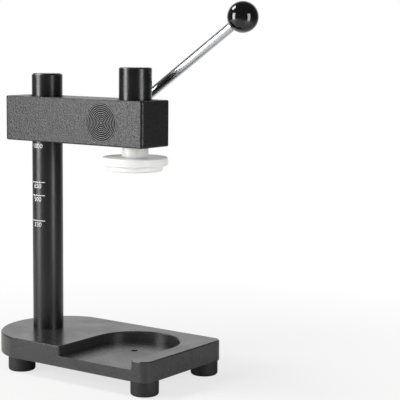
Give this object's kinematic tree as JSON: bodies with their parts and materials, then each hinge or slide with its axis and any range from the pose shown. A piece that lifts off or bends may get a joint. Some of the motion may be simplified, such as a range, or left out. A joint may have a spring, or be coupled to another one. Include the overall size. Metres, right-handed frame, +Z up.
{
  "type": "can lid press",
  "caption": "Bench press with a lever, rack and pinion that pushes a white head down on a can standing in a nest; the arm slides and turns on a round column.",
  "frame": {"origin": "on the axis of the nest hole and the ram, at the nest's floor, where a can's bottom rests", "axes": "+Z up along the ram and column, +X from the column to the ram, -Y towards the nest's open front"},
  "size_m": [0.2634, 0.12, 0.3548],
  "materials": {
    "black_nylon": "moulded, fine grain",
    "black_phenolic": "glossy moulded",
    "black_rubber": "matte moulded",
    "black_steel": "blackened and polished steel",
    "brass": "turned brass",
    "bronze": "turned bronze",
    "chrome": "polished chrome",
    "dark_anodised": "satin dark anodised, blasted",
    "grey_polymer": "turned, matte",
    "powder_coat": "fine textured black powder coat",
    "steel": "zinc plated",
    "white_acetal": "turned, satin"
  },
  "bodies": {
    "base": {"base_plate": "dark_anodised", "foot_front_left": "black_rubber", "foot_front_right": "black_rubber", "foot_rear_left": "black_rubber", "foot_rear_right": "black_rubber", "foot_washers": "steel", "foot_screws": "steel", "column": "black_steel", "column_screw": "steel"},
    "carriage": {"lower_liner": "grey_polymer", "upper_liner": "grey_polymer"},
    "arm": {"arm_block": "powder_coat", "lower_ram_bush": "grey_polymer", "upper_ram_bush": "grey_polymer", "pinion_cap": "dark_anodised", "front_pinion_bush": "bronze", "rear_pinion_bush": "bronze", "thrust_washer": "steel", "clamp_pad": "brass"},
    "clamp": {"clamp_screw": "steel", "clamp_knob": "black_nylon"},
    "lever": {"pinion_shaft": "steel", "disc_spring": "steel", "lever_hub": "black_steel", "hub_set_screw": "steel", "hub_washer": "steel", "hub_screw": "steel", "lever_rod": "chrome", "ball_knob": "black_phenolic", "ball_insert": "brass"},
    "ram_unit": {"ram": "black_steel", "press_head": "white_acetal", "head_screw": "steel"}
  },
  "joints": [
    {"name": "arm_height", "type": "slide", "parent": "base", "child": "carriage", "axis": [0, 0, 1], "range_m": [-0.08, 0.02]},
    {"name": "arm_swivel", "type": "hinge", "parent": "carriage", "child": "arm", "pos_m": [-0.11, 0, 0.21725], "axis": [0, 0, 1], "continuous": true},
    {"name": "clamp_turn", "type": "hinge", "parent": "arm", "child": "clamp", "pos_m": [-0.11, 0, 0.21725], "axis": [0, 1, 0], "range_deg": [0, 360]},
    {"name": "lever_turn", "type": "hinge", "parent": "arm", "child": "lever", "pos_m": [-0.024, 0, 0.21725], "axis": [0, 1, 0], "range_deg": [-38, 80]},
    {"name": "ram_travel", "type": "slide", "parent": "arm", "child": "ram_unit", "axis": [0, 0, -1], "range_m": [-0.008, 0.0168]}
  ],
  "couplings": [
    {"joint": "ram_travel", "follows": "lever_turn", "m_per_rad": 0.012}
  ]
}
